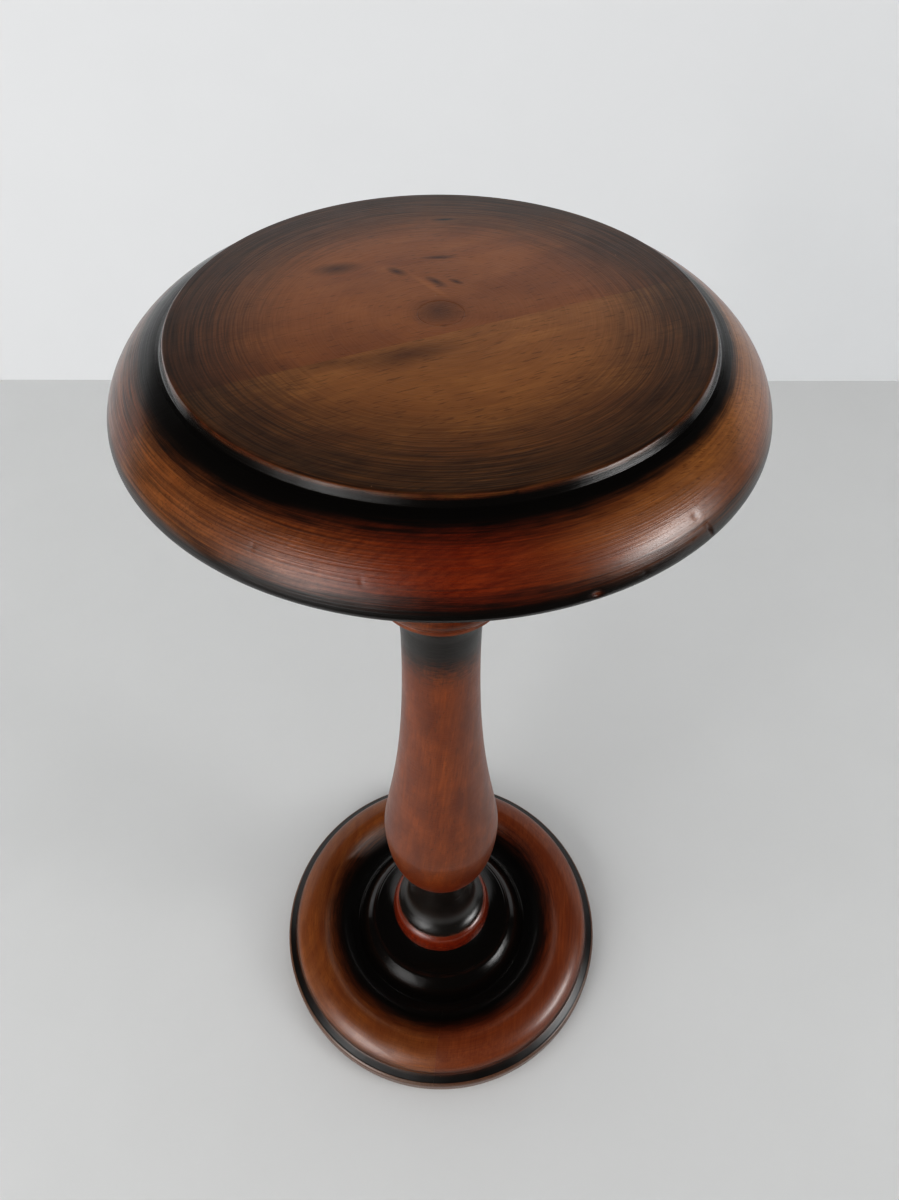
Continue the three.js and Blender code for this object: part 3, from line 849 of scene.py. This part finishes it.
def threadRadii(spec, heights, angles, fadeIn, end):
    # radius minus depth times a rounded triangle wave of (height / pitch - turn), faded in over a
    # short stretch and narrowing to a point before the end
    phase = (heights[:, None] / spec["pitch"] - angles / (2 * np.pi)) % 1
    wave = np.clip(2.6 * np.abs(phase - 0.5), 0, 1) * smoothStep(*fadeIn, heights)[:, None]
    cone = np.clip((end - heights) / spec["point"], 0.06, 1)[:, None]
    return (spec["shankRadius"] - spec["threadDepth"] * wave) * cone


def crossDepth(x, y, spec):
    # a cross recess: two rounded slots, deepest in the middle
    arm, half = spec["recess"], 0.42 * spec["recess"] / 2.6
    slots = np.maximum(np.exp(-(x / half) ** 6) * (np.abs(y) < arm),
                       np.exp(-(y / half) ** 6) * (np.abs(x) < arm))
    return slots * spec["recess"] * 0.75 * (1 - 0.7 * np.hypot(x, y) / arm)


def screwMesh(name, headLine, spec):
    # headLine goes from the middle of the head's face to the shank, height 0 is the face
    head = softened(np.array(headLine, float), closed=False, edge=0.1, longest=0.16, turn=12)
    head[0, 0] = 0
    start, end, angles = spec["threadFrom"], spec["length"], evenAngles(32)
    heights = np.arange(start, end, spec["pitch"] / 8)
    radii = threadRadii(spec, heights, angles, (start, start + spec["pitch"]), end)
    radius = np.vstack([head[:, :1] + 0 * angles, radii, 0 * angles])
    height = np.concatenate([head[:, 1], heights, [end]])[:, None] + 0 * angles
    x, y = radius * np.cos(angles), radius * np.sin(angles)
    onFace = np.zeros(height.shape)
    onFace[:len(head)] = (head[:, 1:] < spec["faceDepth"]) & (head[:, :1] < spec["recess"] * 1.2)
    height = height + onFace * crossDepth(x, y, spec)
    return gridMesh(name, np.stack([x, y, height], 2))


def makeCleatScrews(spec):
    faceZ = cleatBottomZ + 0.1
    neckZ = 0.5 + spec["headRadius"] - spec["shankRadius"]
    headLine = [(0, 0), (spec["headRadius"], 0), (spec["headRadius"], 0.5), (spec["shankRadius"], neckZ)]
    details = {**spec, "threadFrom": neckZ + 6, "threadDepth": 0.5, "point": 5.5, "faceDepth": 0.05}
    for i, (x, y) in enumerate(screwPlaces(spec)):
        name = f"cleat_screw_{i + 1}"
        mesh = screwMesh(name, headLine, details)
        drivenTo = Matrix.Rotation(0.5 + 0.9 * i, 4, "Z")   # each recess stops at its own angle
        mesh.transform(Matrix.Translation(Vector((x, y, faceZ)) * mm) @ drivenTo)
        finishSteel(name, mesh)


topScrew = {"headRadius": 6.5, "headHeight": 3.6, "shankRadius": 3.0, "length": 68.0, "pitch": 2.4,
            "recess": 3.4}


def makeTopScrew(spec):
    headFootZ = standHeight - topBoards["counterbore"] + slack["seat"]
    crown, rimR, headZ = 1.2, spec["headRadius"], spec["headHeight"]
    headLine = outline((0, 0), arcLine((rimR - 2.6, 1.8), (2.6, 1.8), -90, 0, 14), (rimR, headZ),
                       (spec["shankRadius"], headZ))
    details = {**spec, "threadFrom": headZ + 14, "length": headZ + spec["length"], "threadDepth": 0.7,
               "point": 8.0, "faceDepth": crown}
    mesh = screwMesh("top_screw", headLine, details)
    down = Matrix.Translation((0, 0, (headFootZ + headZ) * mm)) @ Matrix.Rotation(pi, 4, "X")
    mesh.transform(down)
    finishSteel("top_screw", mesh)


baseFixing = {"ceilingZ": 14.0, "washerRadius": 17.0, "washerThickness": 1.6, "shankRadius": 4.0,
              "acrossFlats": 13.0, "headHeight": 5.3, "boltLength": 60.0, "pitch": 3.0,
              "threadDepth": 0.8, "point": 7.0}


def makeBolt(spec):
    # the hexagon is the smaller of flats / cos(angle from the nearest flat) and the chamfer's cone
    headTopZ = spec["ceilingZ"] - 2 * slack["seat"] - spec["washerThickness"]
    faceZ = headTopZ - spec["headHeight"]
    angles = evenAngles(96)
    nearest = (angles + np.pi / 6) % (np.pi / 3) - np.pi / 6
    hexagon = spec["acrossFlats"] / 2 / np.cos(nearest)
    rise = np.concatenate([[0], np.linspace(0, 0.9, 8), np.linspace(1.2, spec["headHeight"] - 0.4, 8),
                           [spec["headHeight"] - 0.2, spec["headHeight"]]])
    cone = spec["acrossFlats"] / 2 - 0.35 + rise * 1.9
    cone[0] = 0
    headRadii = np.minimum(hexagon[None, :], cone[:, None])
    headRadii[-1] = headRadii[-2] - 0.15
    start, end = spec["headHeight"], spec["headHeight"] + spec["boltLength"]
    heights = np.arange(start + 0.01, end, spec["pitch"] / 10)
    radii = threadRadii(spec, heights, angles, (start + 18, start + 21), end)
    radius = np.vstack([headRadii, radii, 0 * angles])
    height = np.concatenate([rise, heights, [end]])[:, None] + faceZ
    mesh = gridMesh("base_bolt", roundPoints(radius, height, angles))
    finishSteel("base_bolt", mesh, sharpDegrees=28)


def makeWasher(spec):
    # pressed washer: a stamped ring with one edge rolled over and a burr-free hole
    bore, rim = spec["shankRadius"] + slack["seat"], spec["washerRadius"]
    topZ = spec["ceilingZ"] - slack["seat"]
    lowZ = topZ - spec["washerThickness"]
    line = softened(outline(
        (bore + 0.3, lowZ), (rim - 1.2, lowZ), arcLine((rim - 0.8, lowZ + 0.8), (0.8, 0.8), -90, 0, 8),
        (rim, topZ - 0.15), (rim - 0.15, topZ), (bore, topZ), (bore, lowZ + 0.3)), edge=0.15, longest=0.8)
    mesh = turnedMesh("base_washer", line, evenAngles(96))
    finishSteel("base_washer", mesh)


def paleWood(name, grainDegrees):
    # bare beech: pale, with fine dark flecks along the grain
    material, tree, shader, place = newMaterial(name)
    along = stretched(tree, place, (1, 1, 1), (0.0, 0.0, -radians(grainDegrees)))
    figure = useGroup(tree, woodFigure, {"Place": along, "Ring Size": 0.003}).outputs
    wood = mix(tree, figure["Figure"], srgb(206, 168, 122), srgb(186, 144, 98))
    wood = mix(tree, times(tree, figure["Fleck"], 0.7), wood, srgb(140, 96, 58))
    setInputs(tree, shader, {"Base Color": wood,
                             "Roughness": between(tree, figure["Fibre"], 0, 1, 0.62, 0.82)})
    bump(tree, shader, figure["Fibre"], 0.4, 0.00012)
    return material


def makeDowels(prefix, seam, spec):
    # fluted pin: radius = full radius minus shallow flutes cos(9 * angle) ** 8, with chamfered ends
    angles = evenAngles(144)
    half, full = spec["length"] / 2, spec["radius"]
    rise = np.concatenate([[-half, -half], np.linspace(-half + 0.1, -half + 1.4, 8),
                           np.linspace(-half + 2, half - 2, 30), np.linspace(half - 1.4, half - 0.1, 8),
                           [half, half]])
    chamfer = full - 0.9 + 0.9 * smoothStep(0, 1.5, half - np.abs(rise))
    chamfer[0] = chamfer[-1] = 0
    inside = smoothStep(0.6, 2.2, half - np.abs(rise))
    flutes = 0.35 * np.abs(np.cos(9 * angles)) ** 8
    radius = chamfer[:, None] - inside[:, None] * flutes[None, :]
    points = roundPoints(radius, rise[:, None], angles)
    heading = seam["angle"] + 90
    tilt = Matrix.Rotation(radians(heading), 4, "Z") @ Matrix.Rotation(pi / 2, 4, "Y")
    for i, side in enumerate((-1, 1)):
        name = f"{prefix}_{i + 1}"
        mesh = gridMesh(name, points)
        middle = Vector((*seamPoint(seam, side * spec["spread"]), spec["z"])) * mm
        mesh.transform(Matrix.Translation(middle) @ tilt)
        finishPiece(name + "_beech", mesh, paleWood(name + "_grain", heading), "pale_wood", name)


def feltMaterial(name):
    # pressed felt: mottled grey fibres, a soft sheen and a woolly bump
    material, tree, shader, place = newMaterial(name)
    wool = noise(tree, place, 900.0, 5, 0.75, 1.5)
    clumps = noise(tree, place, 220.0, 3, 0.6)
    grey = mix(tree, between(tree, wool, 0.3, 0.7), srgb(74, 72, 69), srgb(40, 39, 37))
    grey = mix(tree, between(tree, clumps, 0.45, 0.8, 0, 0.6), grey, srgb(92, 88, 82))
    setInputs(tree, shader, {"Base Color": grey, "Roughness": 0.95, "Sheen Weight": 0.4,
                             "Sheen Roughness": 0.5})
    bump(tree, shader, wool, 0.8, 0.0002)
    return material


feltPad = {"radius": 11.0, "circle": 115.0, "thickness": 1.7, "count": 4}


def makeFeltPads(spec):
    # pressed disc with soft edges; its rim wanders by the sum of a few waves, its faces by fine ones
    angles = evenAngles(120)
    r, t = spec["radius"], spec["thickness"]
    rim = arcLine((r - 0.8, t / 2), (0.8, t / 2 - 0.05), -90, 90, 16)
    line = softened(outline((0, 0.05), (r - 0.9, 0.05), rim, (0, t)), closed=False, edge=0.2, longest=0.7)
    line[0, 0] = line[-1, 0] = 0
    for i in range(spec["count"]):
        name = f"felt_pad_{i + 1}"
        turn = radians(45 + 90 * i)
        wander = 0.12 * np.sin(3 * angles + i) + 0.06 * np.sin(17 * angles + 2 * i)
        wander += 0.04 * np.sin(41 * angles)
        points = turnedPoints(line, angles)
        out = smoothStep(0.5 * r, r, line[:, :1])
        points[..., :2] *= (1 - (0.22 - wander) * out / r)[..., None]
        nap = 0.05 * np.sin(2.1 * points[..., 0]) * np.cos(1.7 * points[..., 1])
        points[..., 2] = np.clip(points[..., 2] + nap, 0.0, t)
        points[..., 0] += spec["circle"] * cos(turn)
        points[..., 1] += spec["circle"] * sin(turn)
        mesh = gridMesh(name, points)
        finishPiece(name + "_wool", mesh, feltMaterial(name + "_felt"), "felt", name)


makeCleatScrews(cleatScrew)
makeTopScrew(topScrew)
makeBolt(baseFixing)
makeWasher(baseFixing)
makeDowels("top_dowel", topBoards["seam"], topDowel)
makeDowels("base_dowel", baseBoards["seam"], baseDowel)
makeFeltPads(feltPad)
print("screws, bolt, washer, dowels and pads ready")


# floor, wall, light and camera

studio = {
    "floorHalf": 3.0, "wallY": 0.84, "wallHeight": 1.25,
    "floor": srgb(217, 217, 216), "wall": srgb(220, 221, 222), "roomLight": 0.37, "roomGlow": 0.03,
    "filmCurve": [(0.012, 0.0045), (0.027, 0.0145), (0.055, 0.039), (0.165, 0.152), (0.44, 0.5),
                  (0.62, 0.73)],
    "darkFrom": -0.3, "darkTo": -0.55, "dimFrom": 0.95, "dimTo": 1.25,
    "eye": (0.0, -0.3037, 0.7759), "pitch": 48.28, "yaw": 0.83, "roll": 0.58, "lens": 26.17,
    "sensor": 36, "nearest": 0.01, "lampHeight": 0.5, "lampDistance": 2.2,
}
# degrees go round from the front (-Y) towards +X, rise is up from the floor; sizes are in metres
lamps = [
    {"name": "window_left", "degrees": -40, "rise": 7, "size": (1.2, 1.7), "light": 4.0, "gleam": 14},
    {"name": "window_far_left", "degrees": -72, "rise": 12, "size": (1.2, 1.6), "light": 1.9, "gleam": 0},
    {"name": "window_right", "degrees": 70, "rise": 11, "size": (0.95, 0.46), "light": 6, "gleam": 31},
    {"name": "window_right_high", "degrees": 70, "rise": 24, "size": (0.95, 0.8), "light": 2.6,
     "gleam": 2.5},
]


def stageMaterial(name, colour, s):
    # a faint mottle, and nothing at all from behind, so that it never hides the object. Polished
    # surfaces see the room in front of the stand, and the top of the wall, as dark.
    material, tree, shader, place = newMaterial(name)
    mottle = noise(tree, place, 9.0, 3, 0.5)
    darker = tuple(0.96 * c for c in colour[:3]) + (1.0,)
    paint = mix(tree, mottle, colour, darker)
    split = addNode(tree, "SeparateXYZ", {0: place})
    front = between(tree, split.outputs[1], s["darkTo"], s["darkFrom"], 1.0, 0.0)
    above = between(tree, split.outputs[2], s["dimFrom"], s["dimTo"], 0.0, 1.0)
    mirrored = addNode(tree, "LightPath").outputs["Is Glossy Ray"]
    dim = times(tree, mirrored, calc(tree, "MAXIMUM", front, above))
    behind = addNode(tree, "NewGeometry").outputs["Backfacing"]
    setInputs(tree, shader, {"Base Color": mix(tree, dim, paint, (0.02, 0.02, 0.02, 1)),
                             "Roughness": 0.8, "Alpha": calc(tree, "SUBTRACT", 1.0, behind)})
    return material


def makeStage(s):
    half, wallY, top = s["floorHalf"], s["wallY"], s["wallHeight"]
    floorCorners = [(-half, -half, 0), (half, -half, 0), (half, wallY, 0), (-half, wallY, 0)]
    wallCorners = [(-half, wallY, 0), (half, wallY, 0), (half, wallY, top), (-half, wallY, top)]
    for name, corners, colour in (("floor", floorCorners, s["floor"]), ("wall", wallCorners, s["wall"])):
        mesh = bpy.data.meshes.new(name)
        mesh.from_pydata(corners, [], [(0, 1, 2, 3)])
        sheet = addObject(name, mesh)
        mesh.materials.append(stageMaterial(name + "_paint", colour, s))


def softLight(spec, s):
    # a lamp that faces the column. What it lights and what polished surfaces mirror are two lamps in
    # one place, so that each has its own strength.
    a, e = radians(spec["degrees"]), radians(spec["rise"])
    away = Vector((sin(a) * cos(e), -cos(a) * cos(e), sin(e)))
    for part in ("light", "gleam"):
        if spec[part] == 0:
            continue
        lamp = bpy.data.lights.new(spec["name"] + "_" + part, "AREA")
        lamp.shape = "RECTANGLE"
        lamp.size, lamp.size_y = spec["size"]
        lamp.energy = spec[part] * pi * spec["size"][0] * spec["size"][1]
        holder = addObject(lamp.name, lamp)
        holder.location = Vector((0, 0, s["lampHeight"])) + away * s["lampDistance"]
        holder.rotation_mode = "QUATERNION"
        holder.rotation_quaternion = away.to_track_quat("Z", "Y")
        holder.visible_glossy = part == "gleam"
        holder.visible_diffuse = part == "light"


def makeRoom(s):
    # an even pale light from all round, which polished surfaces see as a dim room
    world = bpy.data.worlds.new("room")
    world.use_nodes = True
    tree = world.node_tree
    mirrored = addNode(tree, "LightPath").outputs["Is Glossy Ray"]
    strength = between(tree, mirrored, 0.0, 1.0, s["roomLight"], s["roomGlow"])
    setInputs(tree, tree.nodes["Background"], {"Color": (0.97, 0.985, 1.0, 1), "Strength": strength})
    bpy.context.scene.world = world
    settings = bpy.context.scene.view_settings
    settings.view_transform = "Standard"
    settings.use_curve_mapping = True   # a film curve: deep shadows, bright whites
    for shown in s["filmCurve"]:
        settings.curve_mapping.curves[3].points.new(*shown)
    settings.curve_mapping.update()


def makeCamera(s):
    pitch, yaw, roll = (radians(s[key]) for key in ("pitch", "yaw", "roll"))
    ahead = Vector((sin(yaw) * cos(pitch), cos(yaw) * cos(pitch), -sin(pitch)))
    right = ahead.cross(Vector((0, 0, 1))).normalized()
    up = right.cross(ahead)
    right, up = (cos(roll) * right + sin(roll) * up, cos(roll) * up - sin(roll) * right)
    camera = addObject("camera", bpy.data.cameras.new("camera"))
    camera.data.lens = s["lens"]
    camera.data.sensor_width = s["sensor"]
    camera.data.clip_start = s["nearest"]
    turn = Matrix((right, up, -ahead)).transposed()
    camera.matrix_world = Matrix.Translation(s["eye"]) @ turn.to_4x4()
    bpy.context.scene.camera = camera


makeStage(studio)
makeRoom(studio)
for lampSpec in lamps:
    softLight(lampSpec, studio)
makeCamera(studio)
print("stage, lights and camera ready")
